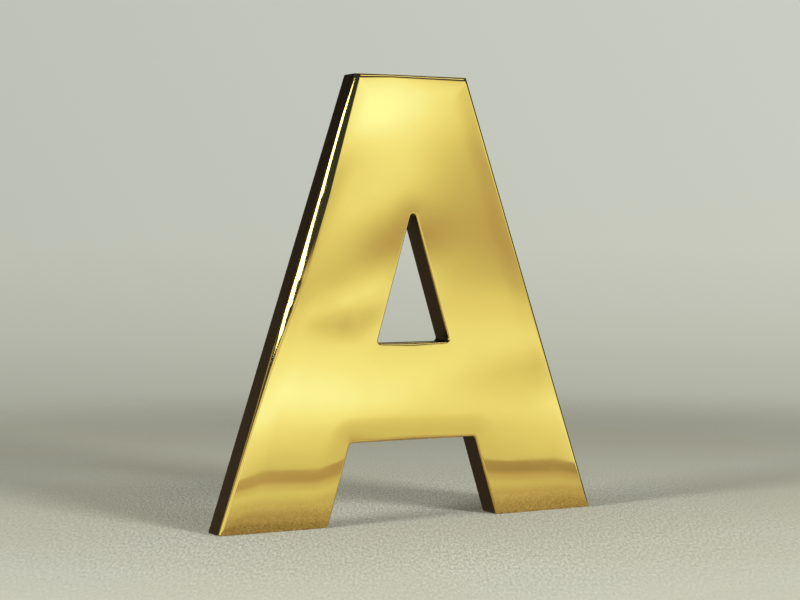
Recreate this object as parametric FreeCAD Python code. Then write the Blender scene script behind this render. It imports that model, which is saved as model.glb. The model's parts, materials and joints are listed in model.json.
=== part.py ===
"""A free-standing capital letter cut from thick brass plate, with three studs screwed into its back.

Frame, in millimetres: +X to the letter's right as read, -Y out of its polished front face, +Z up.
The origin is the bottom centre of the whole object's box, so the feet stand on Z = 0.
"""
import math
import os

import FreeCAD, Part

# Letter, measured on its flat outline
HEIGHT = 101.6
PLATE_THICKNESS = 6.35
TOP_WIDTH = 28.8
BASE_WIDTH = 97.2
FOOT_WIDTH = 26.5
NOTCH_HEIGHT = 18.6
NOTCH_TOP_WIDTH = 32.7
COUNTER_FLOOR_Z = 40.75
COUNTER_FLOOR_WIDTH = 19.0
COUNTER_APEX_Z = 72.1        # where the counter's two slopes would meet, before the cutter rounds it
CUTTER_RADIUS = 0.8          # left in every inside corner
FRONT_EDGE_RADIUS = 1.3      # buffed round the outside of the front face
COUNTER_EDGE_RADIUS = 0.4    # buffing reaches less far round the counter
BACK_EDGE_CHAMFER = 0.2

# M4 studs, equally spaced on one circle
STUD_RADIUS = 2.0            # over the thread's crests
ENGAGED_RADIUS = 1.77        # half the thread's pitch diameter, where stud and letter meet
STUD_LENGTH = 16.0
STUD_GRIP = 4.0              # length screwed into the letter
STUD_END_CHAMFER = 0.4
STUD_CIRCLE_RADIUS = 32.0
STUD_CIRCLE_Z = 46.0
STUD_ANGLES = {"top_stud": 90.0, "left_leg_stud": 210.0, "right_leg_stud": 330.0}
HOLE_SPARE_DEPTH = 0.2       # the hole's full bore runs on past the stud's end
HOLE_MOUTH_RADIUS = 2.2      # countersunk, clear of the thread's crests
DRILL_POINT_ANGLE = 118.0

# Depths along Y, from the depth of the whole object
STUD_EXPOSED = STUD_LENGTH - STUD_GRIP
BACK_FACE_Y = (PLATE_THICKNESS - STUD_EXPOSED) / 2
FRONT_FACE_Y = BACK_FACE_Y - PLATE_THICKNESS
BACKWARD = FreeCAD.Vector(0, 1, 0)
TOLERANCE = 0.001


def outline_wire(corners):
    """A closed wire in the front face's plane through (x, z) corners."""
    points = [FreeCAD.Vector(x, FRONT_FACE_Y, z) for x, z in corners]
    return Part.makePolygon(points + points[:1])


def outer_corners():
    """The letter's outside, with the notch between its feet, from the left foot round to the right."""
    half_base = BASE_WIDTH / 2
    half_top = TOP_WIDTH / 2
    half_notch = NOTCH_TOP_WIDTH / 2
    foot_inside = half_base - FOOT_WIDTH
    right_side = [
        (half_top, HEIGHT),
        (half_base, 0.0),
        (foot_inside, 0.0),
        (half_notch, NOTCH_HEIGHT),
    ]
    left_side = [(-x, z) for x, z in reversed(right_side)]
    return right_side + left_side


def counter_corners():
    """The triangle inside the letter, above its crossbar."""
    half_floor = COUNTER_FLOOR_WIDTH / 2
    return [(0.0, COUNTER_APEX_Z), (half_floor, COUNTER_FLOOR_Z), (-half_floor, COUNTER_FLOOR_Z)]


def plate_of(corners):
    """An outline carried through the plate's thickness."""
    face = Part.Face(outline_wire(corners))
    return face.extrude(BACKWARD * PLATE_THICKNESS)


def edges_through_plate(solid, corners):
    """The edges that run through the plate's thickness at the given corners."""
    found = []
    for edge in solid.Edges:
        start = edge.Vertexes[0].Point
        end = edge.Vertexes[-1].Point
        if abs(abs(end.y - start.y) - PLATE_THICKNESS) > TOLERANCE:
            continue
        if any(math.hypot(start.x - x, start.z - z) < TOLERANCE for x, z in corners):
            found.append(edge)
    return found


def edges_on_plane(solid, y):
    """Every edge that lies on the plane at the given depth."""
    found = []
    for edge in solid.Edges:
        box = edge.BoundBox
        if abs(box.YMin - y) < TOLERANCE and abs(box.YMax - y) < TOLERANCE:
            found.append(edge)
    return found


def is_round_counter(edge):
    """True for the only front edges that lie wholly above the notch and below the letter's top."""
    box = edge.BoundBox
    return box.ZMin > NOTCH_HEIGHT + TOLERANCE and box.ZMax < HEIGHT - TOLERANCE


def stud_place(angle):
    """Where a stud's axis crosses the letter's back face."""
    turn = math.radians(angle)
    x = STUD_CIRCLE_RADIUS * math.cos(turn)
    z = STUD_CIRCLE_Z + STUD_CIRCLE_RADIUS * math.sin(turn)
    return FreeCAD.Vector(x, BACK_FACE_Y, z)


def stud_hole(angle):
    """A blind hole for a stud: a countersunk mouth, then a full bore that ends in the drill's point."""
    depth = STUD_GRIP + HOLE_SPARE_DEPTH
    sink_depth = HOLE_MOUTH_RADIUS - ENGAGED_RADIUS
    point_depth = ENGAGED_RADIUS / math.tan(math.radians(DRILL_POINT_ANGLE / 2))
    mouth = stud_place(angle)
    bore = Part.makeCylinder(ENGAGED_RADIUS, depth, mouth, -BACKWARD)
    drill_point = Part.makeCone(ENGAGED_RADIUS, 0.0, point_depth, mouth - BACKWARD * depth, -BACKWARD)
    countersink = Part.makeCone(HOLE_MOUTH_RADIUS, ENGAGED_RADIUS, sink_depth, mouth, -BACKWARD)
    return bore.fuse([drill_point, countersink]).removeSplitter()


def letter_body():
    """The plate letter, with its counter, notch, worked edges and stud holes."""
    half_notch = NOTCH_TOP_WIDTH / 2
    notch_corners = [(half_notch, NOTCH_HEIGHT), (-half_notch, NOTCH_HEIGHT)]
    body = plate_of(outer_corners()).cut(plate_of(counter_corners()))
    inside_corners = edges_through_plate(body, notch_corners + counter_corners())
    body = body.makeFillet(CUTTER_RADIUS, inside_corners)
    counter_edges = [edge for edge in edges_on_plane(body, FRONT_FACE_Y) if is_round_counter(edge)]
    body = body.makeFillet(COUNTER_EDGE_RADIUS, counter_edges)
    outside_edges = [edge for edge in edges_on_plane(body, FRONT_FACE_Y) if not is_round_counter(edge)]
    body = body.makeFillet(FRONT_EDGE_RADIUS, outside_edges)
    body = body.makeChamfer(BACK_EDGE_CHAMFER, edges_on_plane(body, BACK_FACE_Y))
    for angle in STUD_ANGLES.values():
        body = body.cut(stud_hole(angle))
    return body


def stud(angle):
    """A plain stand-in for a fully threaded stud, chamfered at both ends.

    Its exposed length has the crests' radius, and its engaged length the radius that fills the hole.
    """
    back_face = stud_place(angle)
    inner_end = back_face - BACKWARD * STUD_GRIP
    engaged = Part.makeCylinder(ENGAGED_RADIUS, STUD_GRIP, inner_end, BACKWARD)
    exposed = Part.makeCylinder(STUD_RADIUS, STUD_EXPOSED, back_face, BACKWARD)
    shank = engaged.fuse(exposed)
    end_rims = [
        edge
        for y in (inner_end.y, back_face.y + STUD_EXPOSED)
        for edge in edges_on_plane(shank, y)
    ]
    return shank.makeChamfer(STUD_END_CHAMFER, end_rims)


def main():
    """Write each sub-part as its own solid."""
    os.makedirs("parts", exist_ok=True)
    pieces = {"letter_body": letter_body()}
    for name, angle in STUD_ANGLES.items():
        pieces[name] = stud(angle)
    for name, shape in pieces.items():
        solid = shape.Solids[0]
        solid.exportStep(f"parts/{name}.step")
        box = solid.BoundBox
        print(f"{name}: {len(shape.Solids)} solid, valid {solid.isValid()}, volume {solid.Volume:.1f} mm3")
        for axis in "XYZ":
            low, high = getattr(box, axis + "Min"), getattr(box, axis + "Max")
            print(f"  {axis.lower()} {low:.3f} to {high:.3f}")


main()
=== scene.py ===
"""Studio scene of a polished brass plate letter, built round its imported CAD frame.

Metres, +Z up, the polished face towards -Y. Outlines are worked out in millimetres on the
letter's flat (x, z) plane and scaled by MM when a mesh is made.
"""
import json
import math

import bpy
from mathutils import Matrix, Vector, noise
from mathutils.geometry import delaunay_2d_cdt

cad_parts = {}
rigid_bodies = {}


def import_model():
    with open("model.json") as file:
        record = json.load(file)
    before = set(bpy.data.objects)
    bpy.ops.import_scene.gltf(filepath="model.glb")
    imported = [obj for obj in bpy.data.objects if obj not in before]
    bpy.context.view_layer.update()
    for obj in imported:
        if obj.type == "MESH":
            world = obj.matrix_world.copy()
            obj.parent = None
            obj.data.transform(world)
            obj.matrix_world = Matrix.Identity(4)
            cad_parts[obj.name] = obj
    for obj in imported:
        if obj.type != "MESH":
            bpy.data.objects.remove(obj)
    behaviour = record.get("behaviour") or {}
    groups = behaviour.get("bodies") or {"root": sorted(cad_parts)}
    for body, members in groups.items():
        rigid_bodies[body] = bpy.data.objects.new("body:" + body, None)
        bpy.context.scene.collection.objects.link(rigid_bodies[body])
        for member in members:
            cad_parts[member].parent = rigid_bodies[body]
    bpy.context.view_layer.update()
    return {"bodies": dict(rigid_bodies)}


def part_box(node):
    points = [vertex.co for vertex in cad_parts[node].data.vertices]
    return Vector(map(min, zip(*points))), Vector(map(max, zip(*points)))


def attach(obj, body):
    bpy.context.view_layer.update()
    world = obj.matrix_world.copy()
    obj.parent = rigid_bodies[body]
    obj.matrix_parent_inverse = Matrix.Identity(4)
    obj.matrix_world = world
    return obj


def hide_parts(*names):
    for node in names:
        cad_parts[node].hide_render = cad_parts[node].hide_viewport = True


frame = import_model()

MM = 0.001
BODY = next(iter(frame["bodies"]))


def box_in_mm(node):
    """A CAD node's lowest and highest corners, in millimetres."""
    low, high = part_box(node)
    return low / MM, high / MM


# ---------------------------------------------------------------- sizes, in millimetres

# The letter, from the frame and the CAD's driving dimensions
LETTER_LOW, LETTER_HIGH = box_in_mm("letter_body")
HEIGHT = LETTER_HIGH.z
HALF_BASE = LETTER_HIGH.x
FRONT_Y = LETTER_LOW.y
BACK_Y = LETTER_HIGH.y
HALF_TOP = 14.4
FOOT_WIDTH = 26.5
NOTCH_HEIGHT = 18.6
HALF_NOTCH_TOP = 16.35
COUNTER_FLOOR_Z = 40.75
HALF_COUNTER_FLOOR = 9.5
COUNTER_APEX_Z = 72.1
CUTTER_RADIUS = 0.8            # inside corners
CRISP_RADIUS = 0.3             # outside corners, barely broken
FOOT_INSIDE_RADIUS = 0.7       # the two corners that the notch leaves on the floor
BACK_CHAMFER = 0.2

# Front edge: a quarter round that hand buffing has widened unevenly, then a shallow roll-off onto the flat
EDGE_RADIUS_MAX = 2.25
EDGE_STEPS = 20                # rows across the quarter round
ROLL_OFF_WIDTH = 6.0
ROLL_OFF_STEPS = 7
PATINA_LINE = 0.15             # where the oxidised side ends, behind a small quarter round
PATINA_START, PATINA_FULL = 0.95, 1.3    # depths over which a large quarter round runs into it
RIM_POLISH = 0.7               # the most polish left at the rim itself

# Waves that hand buffing leaves in the face
WAVE_DEPTH = 0.02
WAVE_LENGTH = 26.0
WAVE_SLICE = 0.35              # the level of the noise that they follow

# Mesh sizes
EDGE_SPACING = 0.9
FACE_SPACING = 1.1
WALL_ROWS = 5
ARC_STEP = math.radians(11)
SLIVER = 1e-4                  # thinner triangles only bridge points that lie in line on a straight edge
FACE_MARGIN = FACE_SPACING * 0.6         # between the edge's rows and the face's own points
MERGE_DISTANCE = 1e-6
INSIDE_CONSTRAINTS = 1         # the triangulator's kind of result
LETTER_SMOOTH = math.radians(40)         # bends up to these angles are shaded smooth
STUD_SMOOTH = math.radians(35)

# Studs and their holes
STUDS = ("top_stud", "left_leg_stud", "right_leg_stud")
ENGAGED_RADIUS = 1.77
ENGAGED_CLEARANCE = 0.02
HOLE_MOUTH_RADIUS = 2.2
HOLE_SPARE_DEPTH = 0.2
DRILL_POINT_ANGLE = 118.0
HOLE_SEGMENTS = 56
THREAD_PITCH = 0.7
THREAD_DEPTH = 0.43
THREAD_CREST_END = 1 / 16      # shares of the pitch, from the middle of a crest
THREAD_ROOT_START = 3 / 8
THREAD_ROWS_PER_TURN = 12
THREAD_SEGMENTS = 48
STUD_END_CHAMFER = 0.4


# ---------------------------------------------------------------- outlines

def corner(x, z, bend, edge_radius, roll_off):
    """An outline corner: its place, the front edge's radius and roll-off depth there, and its bend radius."""
    return Vector((x, z, edge_radius, roll_off)), bend


def outer_corners():
    """The letter's outside, anticlockwise seen from the front, which keeps the brass on the left."""
    foot_inside = HALF_BASE - FOOT_WIDTH

    def on_left_edge(z, edge_radius, roll_off):
        return corner(-HALF_BASE + (HALF_BASE - HALF_TOP) * z / HEIGHT, z, 0.0, edge_radius, roll_off)

    return [
        corner(0.0, NOTCH_HEIGHT, 0.0, 0.9, 0.05),
        corner(HALF_NOTCH_TOP, NOTCH_HEIGHT, CUTTER_RADIUS, 0.4, 0.06),
        corner(foot_inside, 0.0, FOOT_INSIDE_RADIUS, 0.4, 0.05),
        corner(HALF_BASE, 0.0, CRISP_RADIUS, 0.8, 0.11),
        corner(HALF_TOP, HEIGHT, CRISP_RADIUS, 0.9, 0.11),
        corner(-0.4 * HALF_TOP, HEIGHT, 0.0, 0.7, 0.05),
        corner(-HALF_TOP, HEIGHT, CRISP_RADIUS, 1.0, 0.07),
        on_left_edge(0.73 * HEIGHT, EDGE_RADIUS_MAX, 0.06),
        on_left_edge(0.55 * HEIGHT, EDGE_RADIUS_MAX, 0.06),
        on_left_edge(0.49 * HEIGHT, 1.95, 0.06),
        on_left_edge(0.43 * HEIGHT, 1.4, 0.07),
        on_left_edge(0.36 * HEIGHT, 0.9, 0.08),
        on_left_edge(0.26 * HEIGHT, 0.6, 0.10),
        corner(-HALF_BASE, 0.0, CRISP_RADIUS, 0.6, 0.14),
        corner(-foot_inside, 0.0, FOOT_INSIDE_RADIUS, 0.4, 0.12),
        corner(-HALF_NOTCH_TOP, NOTCH_HEIGHT, CUTTER_RADIUS, 0.5, 0.12),
    ]


def counter_corners():
    """The triangular counter, clockwise seen from the front, which keeps the brass on the left again."""
    return [
        corner(0.0, COUNTER_APEX_Z, CUTTER_RADIUS, 0.35, 0.02),
        corner(HALF_COUNTER_FLOOR, COUNTER_FLOOR_Z, CUTTER_RADIUS, 0.4, 0.02),
        corner(0.0, COUNTER_FLOOR_Z, 0.0, 0.8, 0.03),
        corner(-HALF_COUNTER_FLOOR, COUNTER_FLOOR_Z, CUTTER_RADIUS, 0.4, 0.02),
    ]


def left_of(direction):
    """The flat direction a quarter turn anticlockwise."""
    return Vector((-direction.y, direction.x))


def outline(corners, inset=0.0):
    """Points round a closed outline whose edges are moved into the brass by inset, with its corners rounded.

    Each point is (x, z, edge radius, roll-off depth), and the last two change evenly between corners.
    """
    count = len(corners)
    arcs = []
    for i, (here, bend) in enumerate(corners):
        arriving = (here.xy - corners[i - 1][0].xy).normalized()
        leaving = (corners[(i + 1) % count][0].xy - here.xy).normalized()
        inwards = left_of(arriving) + left_of(leaving)
        moved = here.xy + inwards * inset / (1 + left_of(arriving).dot(left_of(leaving)))
        turn = math.atan2(arriving.cross(leaving), arriving.dot(leaving))
        bend += math.copysign(inset, -turn)
        if abs(turn) < ARC_STEP / 2 or bend <= 0.0:
            places = [moved]
        else:
            start = moved - arriving * bend * math.tan(abs(turn) / 2)
            centre = start + left_of(arriving) * math.copysign(bend, turn)
            steps = max(2, math.ceil(abs(turn) / ARC_STEP))
            spoke = start - centre
            places = [centre + Matrix.Rotation(turn * k / steps, 2) @ spoke for k in range(steps + 1)]
        arcs.append([Vector((*place, here.z, here.w)) for place in places])
    points = []
    for i, arc in enumerate(arcs):
        points.extend(arc)
        start, end = arc[-1], arcs[(i + 1) % count][0]
        run = (corners[(i + 1) % count][0].xy - corners[i][0].xy).length
        pieces = math.ceil(run / EDGE_SPACING)
        points.extend(start.lerp(end, k / pieces) for k in range(1, pieces))
    return points


def circle(centre, radius, segments):
    """Points round a hole, clockwise seen from the front, which keeps the brass on the left."""
    return [
        centre + radius * Vector((math.cos(math.tau * k / segments), -math.sin(math.tau * k / segments)))
        for k in range(segments)
    ]


def is_inside(point, polygon):
    """True if a flat point is inside a closed polygon."""
    inside = False
    previous = polygon[-1]
    for current in polygon:
        if (current.y > point.y) != (previous.y > point.y):
            crossing = current.x + (point.y - current.y) * (previous.x - current.x) / (previous.y - current.y)
            if point.x < crossing:
                inside = not inside
        previous = current
    return inside


def distance_to_edges(point, corners):
    """The shortest distance from a flat point to a closed outline's straight edges."""
    nearest = math.inf
    for i, (here, _) in enumerate(corners):
        start = corners[i - 1][0].xy
        along = here.xy - start
        share = min(1.0, max(0.0, (point - start).dot(along) / along.length_squared))
        nearest = min(nearest, (point - start - along * share).length)
    return nearest


# ---------------------------------------------------------------- meshes

class Shell:
    """Collects one closed surface's vertices and faces, in millimetres."""

    def __init__(self):
        self.vertices = []
        self.faces = []
        self.slots = []

    def loop(self, points, depth):
        """Adds flat (x, z) points at one depth or at a depth each, and returns their indices."""
        first = len(self.vertices)
        depths = depth if isinstance(depth, list) else [depth] * len(points)
        self.vertices.extend((point.x, y, point.y) for point, y in zip(points, depths))
        return list(range(first, len(self.vertices)))

    def face(self, corners, slot):
        """Adds one face in a material slot."""
        self.faces.append(corners)
        self.slots.append(slot)

    def strip(self, near, far, slot):
        """Quads from a loop to the matching loop behind it."""
        count = len(near)
        for k in range(count):
            after = (k + 1) % count
            self.face((near[k], far[k], far[after], near[after]), slot)

    def fan(self, ring, tip, slot, at_back=True):
        """Triangles from a loop to the one point that closes a surface, at its back or at its front."""
        count = len(ring)
        for k in range(count):
            after = ring[(k + 1) % count]
            self.face((ring[k], tip, after) if at_back else (ring[k], after, tip), slot)

    def sheet(self, loops, free_points, rim, holes, slot, depth, facing):
        """Fills between loops of known vertices and free flat points, which get their depth by a function.

        Only what is inside the rim and outside the holes is kept. It faces forwards at 1, back at -1.
        """
        flat, known, edges = [], [], []
        for indices in loops:
            first = len(flat)
            flat.extend(Vector((self.vertices[i][0], self.vertices[i][2])) for i in indices)
            known.extend(indices)
            count = len(indices)
            edges.extend((first + k, first + (k + 1) % count) for k in range(count))
        for point in free_points:
            flat.append(point)
            known.append(len(self.vertices))
            self.vertices.append((point.x, depth(point), point.y))
        _, _, triangles, sources, _, _ = delaunay_2d_cdt(
            flat, edges, [], INSIDE_CONSTRAINTS, MERGE_DISTANCE, True)
        for triangle in triangles:
            corners = [sources[k][0] for k in triangle]
            middle = (flat[corners[0]] + flat[corners[1]] + flat[corners[2]]) / 3
            if not is_inside(middle, rim) or any(is_inside(middle, hole) for hole in holes):
                continue
            first, second, third = (flat[k] for k in corners)
            area = (second - first).cross(third - first)
            longest = max((second - first).length, (third - second).length, (first - third).length)
            if abs(area) < SLIVER * longest ** 2:
                continue
            if area * facing < 0:
                corners.reverse()
            self.face([known[k] for k in corners], slot)

    def object(self, name, materials, smooth_angle):
        """Makes the Blender object, smooth where the surface bends by less than the angle."""
        mesh = bpy.data.meshes.new(name)
        mesh.from_pydata([Vector(v) * MM for v in self.vertices], [], self.faces)
        for material in materials:
            mesh.materials.append(material)
        mesh.polygons.foreach_set("material_index", self.slots)
        mesh.polygons.foreach_set("use_smooth", [True] * len(self.faces))
        mesh.validate()
        mesh.set_sharp_from_angle(angle=smooth_angle)
        made = bpy.data.objects.new(name, mesh)
        bpy.context.scene.collection.objects.link(made)
        return made


WORKED, SATIN = 0, 1           # the letter's material slots


def face_depth(inset, point):
    """How far behind the front plane the polished face lies, at a distance in from its edge."""
    wave = noise.noise(Vector((point.x / WAVE_LENGTH, point.y / WAVE_LENGTH, WAVE_SLICE)))
    depth = WAVE_DEPTH * (1 + wave)
    if inset < ROLL_OFF_WIDTH:
        radius, roll_off = point.z, point.w
        short = max(0.0, radius - inset)
        depth += radius - math.sqrt(radius ** 2 - short ** 2)
        depth += roll_off * (1 - inset / ROLL_OFF_WIDTH) ** 2
    return depth


def face_insets():
    """Distances in from the edge of the rows across the quarter round and the roll-off."""
    around = [EDGE_RADIUS_MAX * (1 - math.cos(math.pi / 2 * k / EDGE_STEPS)) for k in range(EDGE_STEPS + 1)]
    step = (ROLL_OFF_WIDTH - EDGE_RADIUS_MAX) / ROLL_OFF_STEPS
    return around + [EDGE_RADIUS_MAX + step * k for k in range(1, ROLL_OFF_STEPS + 1)]


def hole_places():
    """Flat centres of the stud holes."""
    places = []
    for name in STUDS:
        low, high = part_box(name)
        places.append(Vector((low.x + high.x, low.z + high.z)) / (2 * MM))
    return places


def add_stud_hole(shell, mouth, centre):
    """A countersunk blind hole in front of a loop that is already in the back face."""
    low, _ = box_in_mm("top_stud")
    floor_y = low.y - HOLE_SPARE_DEPTH
    sink_y = BACK_Y - (HOLE_MOUTH_RADIUS - ENGAGED_RADIUS)
    tip_y = floor_y - ENGAGED_RADIUS / math.tan(math.radians(DRILL_POINT_ANGLE / 2))
    bore = circle(centre, ENGAGED_RADIUS, HOLE_SEGMENTS)
    sink_ring = shell.loop(bore, sink_y)
    floor_ring = shell.loop(bore, floor_y)
    tip = shell.loop([centre], tip_y)[0]
    shell.strip(sink_ring, mouth, SATIN)
    shell.strip(floor_ring, sink_ring, SATIN)
    shell.fan(floor_ring, tip, SATIN, at_back=False)


def add_face(shell, outlines):
    """The polished face and its worked edge. Returns the loops across the edge, the two rims first."""
    rows = []
    for inset in face_insets():
        for corners in outlines:
            flat = outline(corners, inset)
            rows.append(shell.loop(flat, [FRONT_Y + face_depth(inset, point) for point in flat]))
    outside, counter = (outline(corners) for corners in outlines)

    def free_point_depth(point):
        return FRONT_Y + face_depth(ROLL_OFF_WIDTH, point)

    shell.sheet(rows, face_grid(outlines), outside, [counter], WORKED, free_point_depth, facing=1)
    return rows


def add_walls(shell, outlines, rims, back_rims):
    """The oxidised walls behind the rims, and the back's chamfers. Returns the loops on the back."""
    chamfer_y = BACK_Y - BACK_CHAMFER
    back_loops = []
    for corners, rim, back_rim in zip(outlines, rims, back_rims):
        flat = outline(corners)
        starts = [shell.vertices[i][1] + PATINA_LINE for i in rim]
        previous = rim
        for row in range(WALL_ROWS + 1):
            current = shell.loop(flat, [y + (chamfer_y - y) * row / WALL_ROWS for y in starts])
            shell.strip(previous, current, WORKED)
            previous = current
        back_loop = shell.loop(back_rim, BACK_Y)
        shell.strip(previous, back_loop, SATIN)
        back_loops.append(back_loop)
    return back_loops


def add_back(shell, back_loops, back_rims):
    """The flat satin back, with the stud holes in it."""
    back_outside, back_counter = back_rims
    mouths, gaps = [], [back_counter]
    for centre in hole_places():
        mouth_circle = circle(centre, HOLE_MOUTH_RADIUS, HOLE_SEGMENTS)
        mouth = shell.loop(mouth_circle, BACK_Y)
        add_stud_hole(shell, mouth, centre)
        mouths.append(mouth)
        gaps.append(mouth_circle)
    shell.sheet(back_loops + mouths, [], back_outside, gaps, SATIN, None, facing=-1)


def make_letter(materials):
    """The letter: polished face with its worked edge, dark sides, satin back and stud holes."""
    shell = Shell()
    outlines = (outer_corners(), counter_corners())
    back_rims = [outline(corners, BACK_CHAMFER) for corners in outlines]
    rows = add_face(shell, outlines)
    face_vertices = len(shell.vertices)
    back_loops = add_walls(shell, outlines, rows[:2], back_rims)
    add_back(shell, back_loops, back_rims)

    letter = shell.object("polished_letter", materials, LETTER_SMOOTH)
    depths = [y - FRONT_Y for _, y, _ in shell.vertices[:face_vertices]]
    mark_polish(letter.data, depths, len(rows[0]) + len(rows[1]))
    return letter


def face_grid(outlines):
    """Evenly spaced points over the flat of the face, clear of its edge rows."""
    outer = outline(outlines[0])
    counter = outline(outlines[1])
    margin = ROLL_OFF_WIDTH + FACE_MARGIN
    columns = int(HALF_BASE / FACE_SPACING)
    row_height = FACE_SPACING * math.sqrt(3) / 2
    points = []
    for row in range(int(HEIGHT / row_height)):
        z = (row + 0.5) * row_height
        shift = FACE_SPACING / 2 * (row % 2)
        for column in range(-columns, columns + 1):
            point = Vector((column * FACE_SPACING + shift, z))
            if min(distance_to_edges(point, corners) for corners in outlines) < margin:
                continue
            if is_inside(point, outer) and not is_inside(point, counter):
                points.append(point)
    return points


def mark_polish(mesh, depths, rim_vertices):
    """Stores how polished each vertex is: 1 on the face, less round deep edges and rims, 0 behind them."""
    span = PATINA_FULL - PATINA_START
    values = [min(1.0, max(0.0, (PATINA_FULL - depth) / span)) for depth in depths]
    values[:rim_vertices] = [min(RIM_POLISH, value) for value in values[:rim_vertices]]
    values += [0.0] * (len(mesh.vertices) - len(depths))
    polish = mesh.attributes.new("polish", "FLOAT", "POINT")
    polish.data.foreach_set("value", values)


def thread_radius(turn, crest, root):
    """Radius of a 60 degree thread at a share of its pitch, with flats on the crest and in the root."""
    away = abs(turn - math.floor(turn) - 0.5)
    slope = (away - THREAD_CREST_END) / (THREAD_ROOT_START - THREAD_CREST_END)
    return crest + (root - crest) * min(1.0, max(0.0, slope))


def make_stud(name, material):
    """A fully threaded stud where its CAD node stands, its crests cut back where it is screwed in."""
    low, high = box_in_mm(name)
    centre = Vector(((low.x + high.x) / 2, (low.z + high.z) / 2))
    crest = (high.x - low.x) / 2
    root = crest - THREAD_DEPTH
    length = high.y - low.y
    rows = round(length / THREAD_PITCH * THREAD_ROWS_PER_TURN)
    shell = Shell()
    rings = []
    for row in range(rows + 1):
        along = length * row / rows
        y = low.y + along
        from_end = min(along, length - along)
        limit = min(crest, crest - STUD_END_CHAMFER + from_end)
        if y < BACK_Y:
            limit = min(limit, ENGAGED_RADIUS - ENGAGED_CLEARANCE)
        ring = []
        for k in range(THREAD_SEGMENTS):
            share = k / THREAD_SEGMENTS
            radius = min(limit, thread_radius(along / THREAD_PITCH - share, crest, root))
            ring.append(centre + radius * Vector((math.cos(math.tau * share), math.sin(math.tau * share))))
        rings.append(shell.loop(ring, y))
    for near, far in zip(rings, rings[1:]):
        shell.strip(near, far, 0)
    inner = shell.loop([centre], low.y)[0]
    outer = shell.loop([centre], high.y)[0]
    shell.fan(rings[-1], outer, 0)
    shell.fan(rings[0], inner, 0, at_back=False)
    return shell.object(name + "_threaded", [material], STUD_SMOOTH)


# ---------------------------------------------------------------- materials

class Nodes:
    """Adds and links shader nodes in one tree."""

    def __init__(self, tree):
        self.tree = tree
        tree.nodes.clear()

    def add(self, kind, inputs=(), **settings):
        """A node with its settings, and its inputs set to a value or linked to an output."""
        node = self.tree.nodes.new(kind)
        for key, value in settings.items():
            setattr(node, key, value)
        for key, value in dict(inputs).items():
            if isinstance(value, bpy.types.NodeSocket):
                self.tree.links.new(value, node.inputs[key])
            else:
                node.inputs[key].default_value = value
        return node

    def math(self, operation, first, second):
        """One step of arithmetic on two numbers."""
        return self.add("ShaderNodeMath", {0: first, 1: second}, operation=operation).outputs[0]

    def vector_math(self, operation, first, second):
        """One step of arithmetic on two vectors."""
        return self.add("ShaderNodeVectorMath", {0: first, 1: second}, operation=operation).outputs["Vector"]

    def place(self):
        """The shaded point in the object's own coordinates."""
        return self.add("ShaderNodeTexCoord").outputs["Object"]

    def noise(self, position, scale, detail, roughness):
        """A noise texture's value."""
        inputs = {"Vector": position, "Scale": scale, "Detail": detail, "Roughness": roughness}
        return self.add("ShaderNodeTexNoise", inputs).outputs["Fac"]

    def stretched(self, position, scale):
        """Position scaled unevenly, which draws a texture out into streaks."""
        return self.add("ShaderNodeMapping", {"Vector": position, "Scale": scale}).outputs["Vector"]

    def ramp(self, value, stops, interpolation="EASE"):
        """A colour ramp through (place, colour) stops."""
        node = self.add("ShaderNodeValToRGB", {"Fac": value})
        node.color_ramp.interpolation = interpolation
        elements = node.color_ramp.elements
        while len(elements) < len(stops):
            elements.new(0.5)
        for element, (place, colour) in zip(elements, stops):
            element.position = place
            element.color = (*colour, 1.0)
        return node.outputs["Color"]

    def between(self, value, low, high, to_low=0.0, to_high=1.0, smooth=False):
        """A value rescaled from one range to another, and kept within it."""
        inputs = {"Value": value, "From Min": low, "From Max": high, "To Min": to_low, "To Max": to_high}
        kind = "SMOOTHSTEP" if smooth else "LINEAR"
        return self.add("ShaderNodeMapRange", inputs, interpolation_type=kind).outputs["Result"]

    def mix(self, factor, first, second):
        """A number between two others."""
        return self.add("ShaderNodeMix", {0: factor, 2: first, 3: second}).outputs[0]

    def mix_colour(self, factor, first, second):
        """A colour between two others."""
        node = self.add("ShaderNodeMix", data_type="RGBA")
        for key, value in ((0, factor), (6, first), (7, second)):
            if isinstance(value, bpy.types.NodeSocket):
                self.tree.links.new(value, node.inputs[key])
            elif key == 0:
                node.inputs[key].default_value = value
            else:
                node.inputs[key].default_value = (*value, 1.0)
        return node.outputs[2]

    def bump(self, height, strength, distance):
        """A bumped normal."""
        inputs = {"Strength": strength, "Distance": distance, "Height": height}
        return self.add("ShaderNodeBump", inputs).outputs["Normal"]

    def surface(self, shader):
        """Ends a material with a shader node."""
        self.add("ShaderNodeOutputMaterial", {"Surface": shader.outputs[0]})

    def metal(self, inputs):
        """Ends a material as bare metal."""
        self.surface(self.add("ShaderNodeBsdfPrincipled", {**inputs, "Metallic": 1.0}))

    def light(self, colour, strength):
        """Ends a material as a glow."""
        self.surface(self.add("ShaderNodeEmission", {"Color": colour, "Strength": strength}))


def new_material(name):
    """An empty material and its nodes."""
    material = bpy.data.materials.new(name)
    material.use_nodes = True
    return material, Nodes(material.node_tree)


# The spans that most of a noise texture's values lie in
WIDE_SPAN = 0.3, 0.7
TIGHT_SPAN = 0.35, 0.65
HIGH_SPAN = 0.35, 0.7
HIGHEST_SPAN = 0.6, 0.85

# Base colours, each a pair that a texture mixes
GOLD = (0.86, 0.64, 0.19), (0.93, 0.70, 0.22)
PATINA = (0.043, 0.025, 0.009), (0.088, 0.060, 0.024)
SATIN_BRASS = (0.60, 0.42, 0.16), (0.82, 0.62, 0.27)
SATIN_LINE = (0.95, 0.76, 0.40)
STEEL = (0.56, 0.55, 0.53), (0.68, 0.68, 0.67)

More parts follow.
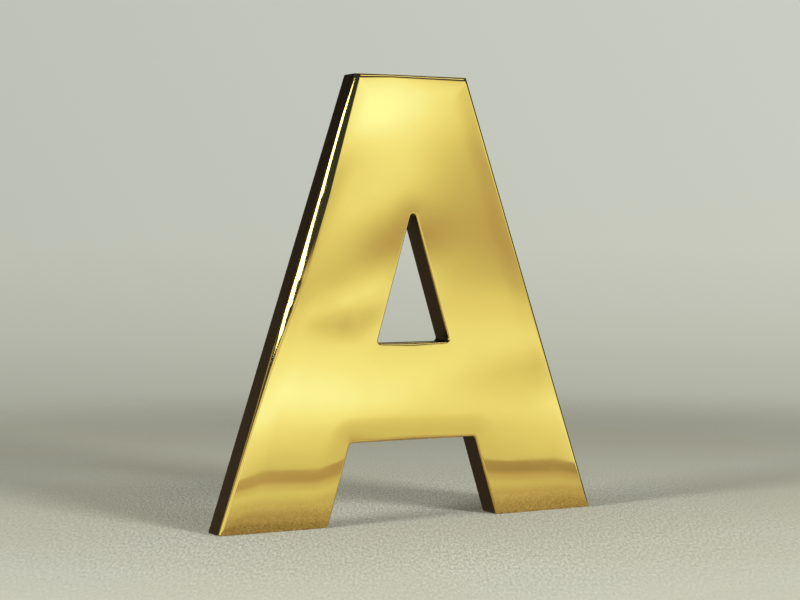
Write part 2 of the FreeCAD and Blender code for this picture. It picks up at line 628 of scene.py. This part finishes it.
# Noise textures: scale per metre (the larger, the finer), detail, and roughness of the noise
PATINA_EDGE_NOISE = 2500.0, 3.0, 0.5
TARNISH_NOISE = 45.0, 3.0, 0.5
STREAK_NOISE = 1800.0, 4.0, 0.65
HAZE_NOISE = 120.0, 3.0, 0.5
BUFFING_NOISE = 2600.0, 3.0, 0.6
SATIN_LINE_NOISE = 2200.0, 4.0, 0.75
SATIN_BLOTCH_NOISE = 60.0, 4.0, 0.5
OIL_STAIN_NOISE = 350.0, 3.0, 0.5
NOISE_MIDDLE = 0.5

# Roughness of each finish, as a range that a texture moves through
POLISHED_FINISH = 0.035, 0.075
BUFFING_MARKS = 0.0, 0.05      # added to the polished finish where the buffing's texture is strongest
OXIDISED_FINISH = 0.4, 0.55
SATIN_FINISH = 0.24, 0.48
STEEL_FINISH = 0.25, 0.34

RAGGEDNESS = 0.5               # how far the patina's edge wanders
SATIN_LINE_SHARE = 0.0, 0.5

# Bumps: strength, and depth in metres
STREAK_BUMP = 0.25, 0.00004
SATIN_BUMP = 0.5, 0.00005

# Streaks and lines are textures drawn out along one axis, where their scale is this share
STREAKS_UP = 1.0, 1.0, 0.12
BUFFED_ACROSS = 0.25, 1.0, 1.0
SATIN_ACROSS = 0.03, 1.0, 1.0


def worked_brass():
    """Mirror-polished brass over the face and edge, running into dark oxidised sides."""
    material, nodes = new_material("worked_brass")
    place = nodes.place()
    polish = nodes.add("ShaderNodeAttribute", attribute_name="polish").outputs["Fac"]
    ragged = nodes.math("SUBTRACT", nodes.noise(place, *PATINA_EDGE_NOISE), NOISE_MIDDLE)
    ragged = nodes.math("MULTIPLY", ragged, RAGGEDNESS)
    bare = nodes.between(nodes.math("ADD", polish, ragged), *TIGHT_SPAN, smooth=True)

    gold = nodes.mix_colour(nodes.noise(place, *TARNISH_NOISE), *GOLD)
    streaks = nodes.noise(nodes.stretched(place, STREAKS_UP), *STREAK_NOISE)
    patina = nodes.mix_colour(nodes.between(streaks, *WIDE_SPAN), *PATINA)

    haze = nodes.noise(place, *HAZE_NOISE)
    buffing = nodes.noise(nodes.stretched(place, BUFFED_ACROSS), *BUFFING_NOISE)
    shine = nodes.between(haze, *HIGH_SPAN, *POLISHED_FINISH)
    shine = nodes.math("ADD", shine, nodes.between(buffing, *HIGHEST_SPAN, *BUFFING_MARKS))
    dull = nodes.between(streaks, *WIDE_SPAN, *OXIDISED_FINISH)
    grain = nodes.math("MULTIPLY", streaks, nodes.math("SUBTRACT", 1.0, bare))
    nodes.metal({
        "Base Color": nodes.mix_colour(bare, patina, gold),
        "Roughness": nodes.mix(bare, dull, shine),
        "Normal": nodes.bump(grain, *STREAK_BUMP),
    })
    return material


def satin_brass():
    """The back: brass rubbed across with fine abrasive."""
    material, nodes = new_material("satin_brass")
    place = nodes.place()
    lines = nodes.noise(nodes.stretched(place, SATIN_ACROSS), *SATIN_LINE_NOISE)
    blotches = nodes.noise(place, *SATIN_BLOTCH_NOISE)
    colour = nodes.mix_colour(nodes.between(blotches, *WIDE_SPAN), *SATIN_BRASS)
    colour = nodes.mix_colour(nodes.between(lines, *HIGH_SPAN, *SATIN_LINE_SHARE), colour, SATIN_LINE)
    nodes.metal({
        "Base Color": colour,
        "Roughness": nodes.between(lines, *WIDE_SPAN, *SATIN_FINISH),
        "Normal": nodes.bump(lines, *SATIN_BUMP),
    })
    return material


def stud_steel():
    """Rolled steel thread, bright with faint oil staining."""
    material, nodes = new_material("stud_steel")
    stains = nodes.noise(nodes.place(), *OIL_STAIN_NOISE)
    nodes.metal({
        "Base Color": nodes.mix_colour(stains, *STEEL),
        "Roughness": nodes.between(stains, *WIDE_SPAN, *STEEL_FINISH),
    })
    return material


# ---------------------------------------------------------------- camera

CAMERA_YAW = math.radians(29.07)
CAMERA_PITCH = math.radians(-1.65)
CAMERA_ROLL = math.radians(-0.2)
CAMERA_DISTANCE = 4.465        # in letter heights
CAMERA_AIM = (-0.0357, 0.498)  # across and up the front plane, in letter heights
CAMERA_LENS = 90.0
CAMERA_FRAME = 36.0
CAMERA_NEAR = 0.02


def make_camera():
    """The camera in front and to the left of the letter, a little above its middle."""
    data = bpy.data.cameras.new("camera")
    data.sensor_width = CAMERA_FRAME
    data.lens = CAMERA_LENS
    data.clip_start = CAMERA_NEAR
    camera = bpy.data.objects.new("camera", data)
    bpy.context.scene.collection.objects.link(camera)
    forward = Vector((
        math.sin(CAMERA_YAW) * math.cos(CAMERA_PITCH),
        math.cos(CAMERA_YAW) * math.cos(CAMERA_PITCH),
        math.sin(CAMERA_PITCH),
    ))
    across, up = CAMERA_AIM
    aim = Vector((across * HEIGHT, FRONT_Y, up * HEIGHT)) * MM
    place = aim - forward * CAMERA_DISTANCE * HEIGHT * MM
    turn = forward.to_track_quat("-Z", "Y").to_matrix() @ Matrix.Rotation(CAMERA_ROLL, 3, "Z")
    camera.matrix_world = Matrix.Translation(place) @ turn.to_4x4()
    bpy.context.scene.camera = camera


# ---------------------------------------------------------------- studio

def seen_by(thing, camera=False, diffuse=False, glossy=False, shadow=False):
    """Sets which rays meet a stage object or lamp."""
    thing.visible_camera = camera
    thing.visible_diffuse = diffuse
    thing.visible_glossy = glossy
    thing.visible_shadow = shadow
    thing.visible_transmission = False
    thing.visible_volume_scatter = False


def stage_mesh(name, vertices, faces, material):
    """A mesh, in metres, that belongs to the stage and not to the object."""
    mesh = bpy.data.meshes.new(name)
    mesh.from_pydata(vertices, [], faces)
    mesh.materials.append(material)
    made = bpy.data.objects.new(name, mesh)
    bpy.context.scene.collection.objects.link(made)
    return made


FLOOR_REACH = 0.7
FLOOR_FADE = (0.20, 0.42)      # distances from the letter over which the floor melts into the backdrop
CLOTH_FIBRES = (0.36, 0.36, 0.30), (0.70, 0.70, 0.60)
# Painted light: soft yellowish patches in the cloth's colour stand for light thrown on it by the brass
CLOTH_PAINTED_LIGHT = (0.50, 0.48, 0.36)
CLOTH_PAINTED_LIGHT_SHARE = 0.0, 0.35
CLOTH_FIBRE_NOISE = 1900.0, 3.0, 0.7
CLOTH_PAINTED_LIGHT_NOISE = 14.0, 2.0, 0.5
CLOTH_BUMP = 0.6, 0.0004
CLOTH_ROUGHNESS = 0.85
CLOTH_SPECULAR = 0.1
CLOTH_NAP = 5.0                # how far the fibres are combed out
GRAIN_FADE = (0.045, 0.13)     # distances from the letter over which the grain softens
FAR_GRAIN = 0.2


def floor_cloth():
    """Pale grey-green cloth with a fine grain and soft yellowish patches of painted light from the brass,
    fading out far from the letter.
    """
    material, nodes = new_material("floor_cloth")
    place = nodes.place()
    napped = nodes.add("ShaderNodeMapping", {
        "Vector": place,
        "Rotation": (0.0, 0.0, -CAMERA_YAW),
        "Scale": (1.0, CLOTH_NAP, 1.0),
    }, vector_type="TEXTURE").outputs["Vector"]
    away = nodes.add("ShaderNodeVectorMath", {0: place}, operation="LENGTH").outputs["Value"]
    grain = nodes.between(away, *GRAIN_FADE, 1.0, FAR_GRAIN, smooth=True)
    fibres = nodes.math("SUBTRACT", nodes.noise(napped, *CLOTH_FIBRE_NOISE), NOISE_MIDDLE)
    fibres = nodes.math("ADD", nodes.math("MULTIPLY", fibres, grain), NOISE_MIDDLE)
    # Painted light thrown by the brass: soft yellowish patches over the cloth
    painted_light_patches = nodes.noise(place, *CLOTH_PAINTED_LIGHT_NOISE)
    colour = nodes.mix_colour(nodes.between(fibres, *TIGHT_SPAN), *CLOTH_FIBRES)
    colour = nodes.mix_colour(nodes.between(painted_light_patches, *TIGHT_SPAN, *CLOTH_PAINTED_LIGHT_SHARE), colour, CLOTH_PAINTED_LIGHT)
    cloth = nodes.add("ShaderNodeBsdfPrincipled", {
        "Base Color": colour,
        "Roughness": CLOTH_ROUGHNESS,
        "Specular IOR Level": CLOTH_SPECULAR,
        "Normal": nodes.bump(fibres, *CLOTH_BUMP),
    })
    gone = nodes.between(away, *FLOOR_FADE, smooth=True)
    nothing = nodes.add("ShaderNodeBsdfTransparent")
    nodes.surface(nodes.add("ShaderNodeMixShader", {0: gone, 1: cloth.outputs[0], 2: nothing.outputs[0]}))
    return material


def make_floor():
    """The cloth that the letter stands on, which the brass doesn't mirror."""
    reach = FLOOR_REACH
    corners = [(-reach, -reach, 0), (reach, -reach, 0), (reach, reach, 0), (-reach, reach, 0)]
    floor = stage_mesh("floor", corners, [(0, 1, 2, 3)], floor_cloth())
    seen_by(floor, camera=True, diffuse=True, shadow=True)


# What the polished brass mirrors: the light of each room level, from dark through grey-green to cool white.
# The brass's own colour turns these into brown, gold and pale yellow.
ROOM_TONES = [
    (0.00, (0.00, 0.01, 0.01)),
    (0.20, (0.04, 0.05, 0.07)),
    (0.40, (0.20, 0.16, 0.12)),
    (0.52, (0.37, 0.31, 0.23)),
    (0.59, (0.49, 0.41, 0.30)),
    (0.66, (0.59, 0.55, 0.40)),
    (0.74, (0.72, 0.74, 0.51)),
    (0.81, (0.87, 0.92, 0.69)),
    (0.90, (1.04, 1.17, 1.01)),
    (0.95, (1.08, 1.33, 1.43)),
    (1.00, (1.30, 1.60, 1.90)),
]


def room_light(nodes, level):
    """Ends a material as the glow of a room level."""
    nodes.light(nodes.ramp(level, ROOM_TONES, "LINEAR"), 1.0)


def level_by(nodes, value, stops):
    """A room level read from (value, level) stops."""
    low, high = stops[0][0], stops[-1][0]
    places = [((value_at - low) / (high - low), (level,) * 3) for value_at, level in stops]
    return nodes.ramp(nodes.between(value, low, high), places)


CLOTH_TURN = 0.15              # the mirrored cloth's hem runs this much nearer on the right
CLOTH_HEM = 0.118
CLOTH_LIFT = 0.0001
CLOTH_WIDE, CLOTH_FAR = 0.4, 0.4
# Painted light and shade of the mirrored cloth: darker close to the letter, brightest where the lamps fall,
# and a painted shadow band just before the hem
CLOTH_LEVELS = [               # by distance in front of the letter, in metres
    (0.009, 0.48),
    (0.018, 0.56),
    (0.045, 0.67),
    (0.068, 0.75),
    (0.082, 0.70),
    (0.095, 0.60),
    (0.118, 0.62),
]
SPECKLE_NOISE = 1900.0, 3.0, 0.6
SPECKLE = 0.13                 # how far the grain changes the level, either way
SPECKLE_FADE = (0.07, 0.04)    # distances ahead from which and to which it comes in
# Painted shade: the mirrored cloth's glow drops towards the right, away from the lamps
RIGHT_FALL = (0.0, 0.08, 0.0, 0.07)      # two places across, and how far the level has dropped at each


def make_mirrored_floor():
    """A glowing card for the near cloth as the polished face mirrors it, out to its hem: the cloth's light
    and shade are painted into the glow, darker away from the lamps.
    """
    material, nodes = new_material("mirrored_cloth_painted_light")
    place = nodes.place()
    x, y, _ = nodes.add("ShaderNodeSeparateXYZ", {0: place}).outputs
    ahead = nodes.math("SUBTRACT", nodes.math("MULTIPLY", x, CLOTH_TURN), y)
    level = level_by(nodes, ahead, CLOTH_LEVELS)
    speckle = nodes.between(nodes.noise(place, *SPECKLE_NOISE), *TIGHT_SPAN, -SPECKLE, SPECKLE)
    level = nodes.math("ADD", level, nodes.math("MULTIPLY", speckle, nodes.between(ahead, *SPECKLE_FADE)))
    level = nodes.math("SUBTRACT", level, nodes.between(x, *RIGHT_FALL))
    room_light(nodes, level)
    hem = [(side, side * CLOTH_TURN - CLOTH_HEM, CLOTH_LIFT) for side in (-CLOTH_WIDE, CLOTH_WIDE)]
    far = [(side, CLOTH_FAR, CLOTH_LIFT) for side in (CLOTH_WIDE, -CLOTH_WIDE)]
    cloth = stage_mesh("mirrored_floor", hem + far, [(0, 1, 2, 3)], material)
    seen_by(cloth, glossy=True)


ROOM_RADIUS = 0.6
ROOM_LOW, ROOM_HIGH = -0.45, 0.65
ROOM_SEGMENTS = 72
ROOM_LEVELS = [                # by height in metres
    (-0.45, 0.50),
    (-0.084, 0.62),
    (-0.052, 0.74),
    (-0.038, 0.80),
    (-0.014, 0.90),
    (0.013, 0.86),
    (0.032, 0.80),
    (0.051, 0.71),
    (0.069, 0.68),
    (0.102, 0.74),
    (0.136, 0.82),
    (0.165, 0.86),
    (0.205, 0.60),
    (0.245, 0.20),
    (0.650, 0.15),
]
SOFT_PATCHES = [               # across, up, half width, half height, tilt in degrees, change of level
    (0.277, 0.136, 0.060, 0.051, 0, 0.16),
    (0.264, 0.083, 0.070, 0.028, 35, 0.14),
    (0.347, 0.102, 0.056, 0.093, 0, -0.10),
    (0.287, 0.067, 0.034, 0.023, 20, -0.08),
    (0.268, 0.041, 0.056, 0.019, 15, 0.12),
    (0.257, 0.025, 0.032, 0.014, 10, -0.16),
    (0.347, -0.005, 0.070, 0.021, 12, -0.13),
    (0.215, -0.014, 0.116, 0.037, 0, 0.06),
    (0.296, -0.038, 0.070, 0.019, 0, -0.04),
]
PATCH_DEPTH = 1e3              # patches reach through the whole room from front to back
DRIFT_SCALE = 14.0             # slow wandering of the bands and patches
DRIFT_REACH = (0.03, 0.0, 0.02)
# The unlit end of the room is in front and to the left, above a slanting line. The far right is unlit too.
SHADE_LEVEL = 0.18
SHADE_EDGE = 0.21
SHADE_SLOPE = 0.28
SHADE_LOW = 0.06
SHADE_SOFTNESS = 0.03
RIGHT_SHADE = (0.50, 0.54)
# The back of the room is even, and a little darker on the left
ROOM_BACK_LEVEL = 0.62
ROOM_BACK = (0.05, 0.30)
BACK_LEFT_DEPTH = (0.0, 0.08)
BACK_LEFT_SHADE = (-0.10, -0.22, 0.0, 0.25)         # two places across, and the shade at each


def room_patches(nodes, place, level):
    """The level with the soft patches added to it."""
    for across, up, half_width, half_height, tilt, change in SOFT_PATCHES:
        seat = nodes.add("ShaderNodeMapping", {
            "Vector": place,
            "Location": (across, 0.0, up),
            "Rotation": (0.0, -math.radians(tilt), 0.0),
            "Scale": (half_width, PATCH_DEPTH, half_height),
        }, vector_type="TEXTURE").outputs[0]
        patch = nodes.add("ShaderNodeTexGradient", {0: seat}, gradient_type="SPHERICAL").outputs["Fac"]
        level = nodes.math("ADD", level, nodes.between(patch, 0.0, 1.0, 0.0, change, smooth=True))
    return level


def room_shade(nodes, x, y, z):
    """How unlit the room is, from 0 to 1."""
    slant = nodes.math("MULTIPLY", nodes.math("SUBTRACT", SHADE_EDGE, x), SHADE_SLOPE)
    above = nodes.math("SUBTRACT", z, slant)
    above = nodes.between(above, SHADE_LOW, SHADE_LOW + SHADE_SOFTNESS, smooth=True)
    left = nodes.between(x, SHADE_EDGE, SHADE_EDGE - SHADE_SOFTNESS, smooth=True)
    right = nodes.between(x, *RIGHT_SHADE, smooth=True)
    deep = nodes.between(y, *BACK_LEFT_DEPTH)
    back_left = nodes.math("MULTIPLY", deep, nodes.between(x, *BACK_LEFT_SHADE))
    front = nodes.math("MAXIMUM", nodes.math("MULTIPLY", above, left), right)
    return nodes.math("MAXIMUM", front, back_left)


def room_material():
    """Soft bands and patches of light, dark higher up."""
    material, nodes = new_material("room_light")
    place = nodes.place()
    drift = nodes.add("ShaderNodeTexNoise", {"Vector": place, "Scale": DRIFT_SCALE, "Detail": 1.0})
    drift = nodes.vector_math("SUBTRACT", drift.outputs["Color"], (0.5, 0.5, 0.5))
    place = nodes.vector_math("ADD", place, nodes.vector_math("MULTIPLY", drift, DRIFT_REACH))
    x, y, z = nodes.add("ShaderNodeSeparateXYZ", {0: place}).outputs
    level = room_patches(nodes, place, level_by(nodes, z, ROOM_LEVELS))
    level = nodes.mix(nodes.between(y, *ROOM_BACK, smooth=True), level, ROOM_BACK_LEVEL)
    level = nodes.mix(room_shade(nodes, x, y, z), level, SHADE_LEVEL)
    room_light(nodes, level)
    return material


def make_room():
    """A drum round the letter that only mirror-like rays meet."""
    vertices, faces = [], []
    for k in range(ROOM_SEGMENTS):
        angle = math.tau * k / ROOM_SEGMENTS
        x, y = ROOM_RADIUS * math.cos(angle), ROOM_RADIUS * math.sin(angle)
        vertices += [(x, y, ROOM_LOW), (x, y, ROOM_HIGH)]
        after = (k + 1) % ROOM_SEGMENTS
        faces.append((2 * k, 2 * after, 2 * after + 1, 2 * k + 1))
    drum = stage_mesh("room", vertices, faces, room_material())
    seen_by(drum, glossy=True)


def make_mirrored_lamp(name, vertices, faces, strength):
    """A crisp bright card that only mirror-like rays meet."""
    material, nodes = new_material(name)
    nodes.light((1.0, 1.0, 1.0, 1.0), strength)
    card = stage_mesh(name, vertices, faces, material)
    seen_by(card, glossy=True)


WINDOW_RADIUS = 0.57
WINDOW_STEPS = 12
WINDOW_STRENGTH = 5.0
# Bearings in degrees, from -X towards -Y, and heights of the window's corners
WINDOW_LOW_EDGE = Vector((-34.0, 0.372)), Vector((44.0, 0.262))
WINDOW_HIGH_EDGE = Vector((0.0, 0.420)), Vector((66.0, 0.200))


def make_mirrored_window():
    """A slanting strip of daylight on the left, bent round the letter just inside the room."""
    vertices = []
    for k in range(WINDOW_STEPS + 1):
        for start, end in (WINDOW_LOW_EDGE, WINDOW_HIGH_EDGE):
            bearing, height = start.lerp(end, k / WINDOW_STEPS)
            angle = math.radians(bearing)
            vertices.append((-WINDOW_RADIUS * math.cos(angle), -WINDOW_RADIUS * math.sin(angle), height))
    faces = [(2 * k, 2 * k + 1, 2 * k + 3, 2 * k + 2) for k in range(WINDOW_STEPS)]
    make_mirrored_lamp("mirrored_window", vertices, faces, WINDOW_STRENGTH)


OVERHEAD_LEFT, OVERHEAD_RIGHT = 0.20, 0.50
OVERHEAD_NEAR, OVERHEAD_FAR = -0.42, -0.16
OVERHEAD_HEIGHT = 0.60
OVERHEAD_STRENGTH = 1.2


def make_mirrored_overhead():
    """A weaker card overhead, in front and to the right."""
    vertices = [
        (OVERHEAD_LEFT, OVERHEAD_NEAR, OVERHEAD_HEIGHT),
        (OVERHEAD_RIGHT, OVERHEAD_NEAR, OVERHEAD_HEIGHT),
        (OVERHEAD_RIGHT, OVERHEAD_FAR, OVERHEAD_HEIGHT),
        (OVERHEAD_LEFT, OVERHEAD_FAR, OVERHEAD_HEIGHT),
    ]
    make_mirrored_lamp("mirrored_overhead", vertices, [(0, 1, 2, 3)], OVERHEAD_STRENGTH)


BACKDROP_HEIGHTS = (-0.10, 0.12)         # as slopes of the line of sight
BACKDROP_TONES = [
    (0.00, (0.410, 0.420, 0.350)),
    (0.12, (0.420, 0.430, 0.360)),
    (0.26, (0.490, 0.505, 0.425)),
    (0.45, (0.545, 0.560, 0.485)),
    (1.00, (0.555, 0.572, 0.510)),
]
BACKDROP_SIDES = (-0.2, 0.2, 0.94, 1.06)            # two slopes across, and the strength at each
AMBIENT = 0.42                 # how much of the backdrop's brightness lights the cloth
GLOSSY_AMBIENT = 0.1           # how much of that the brass mirrors over the top of the room


def make_backdrop():
    """A pale grey backdrop, darker below the horizon and on the left. The brass mirrors the room instead."""
    world = bpy.data.worlds.new("backdrop")
    bpy.context.scene.world = world
    world.use_nodes = True
    nodes = Nodes(world.node_tree)
    direction = nodes.add("ShaderNodeTexCoord").outputs["Generated"]
    height = nodes.add("ShaderNodeSeparateXYZ", {0: direction}).outputs["Z"]
    colour = nodes.ramp(nodes.between(height, *BACKDROP_HEIGHTS), BACKDROP_TONES, "LINEAR")
    sideways = (math.cos(CAMERA_YAW), -math.sin(CAMERA_YAW), 0.0)
    across = nodes.add("ShaderNodeVectorMath", {0: direction, 1: sideways}, operation="DOT_PRODUCT")
    strength = nodes.between(across.outputs["Value"], *BACKDROP_SIDES)
    path = nodes.add("ShaderNodeLightPath").outputs
    strength = nodes.math("MULTIPLY", strength, nodes.between(path["Is Camera Ray"], 0.0, 1.0, AMBIENT, 1.0))
    glossy = nodes.between(path["Is Glossy Ray"], 0.0, 1.0, 1.0, GLOSSY_AMBIENT)
    strength = nodes.math("MULTIPLY", strength, glossy)
    background = nodes.add("ShaderNodeBackground", {"Color": colour, "Strength": strength})
    nodes.add("ShaderNodeOutputWorld", {"Surface": background.outputs[0]})


LAMP_SIZE = 0.16
LAMPS = [                      # name, place in metres, power in watts
    ("left_window", (-0.62, -0.10, 0.28), 3.5),
    ("right_softbox", (0.16, -0.59, 0.26), 4.0),
]


def add_lamp(name, place, power):
    """A square soft lamp aimed at the middle of the letter, which polished brass doesn't mirror."""
    light = bpy.data.lights.new(name, "AREA")
    light.shape = "SQUARE"
    light.size = LAMP_SIZE
    light.energy = power
    lamp = bpy.data.objects.new(name, light)
    bpy.context.scene.collection.objects.link(lamp)
    aim = Vector((0, 0, HEIGHT * MM / 2))
    lamp.location = place
    lamp.rotation_euler = (aim - lamp.location).to_track_quat("-Z", "Y").to_euler()
    lamp.visible_glossy = False


# ---------------------------------------------------------------- the scene

def make_object():
    """The letter and its studs, each standing for its CAD node."""
    letter = make_letter([worked_brass(), satin_brass()])
    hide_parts("letter_body")
    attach(letter, BODY)
    steel = stud_steel()
    for name in STUDS:
        stud = make_stud(name, steel)
        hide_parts(name)
        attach(stud, BODY)


def make_studio():
    """The backdrop, the floor, what the brass mirrors, and the lamps."""
    make_backdrop()
    make_floor()
    make_mirrored_floor()
    make_room()
    make_mirrored_window()
    make_mirrored_overhead()
    for name, place, power in LAMPS:
        add_lamp(name, place, power)


make_camera()
make_object()
make_studio()
bpy.context.scene.view_settings.view_transform = "Standard"
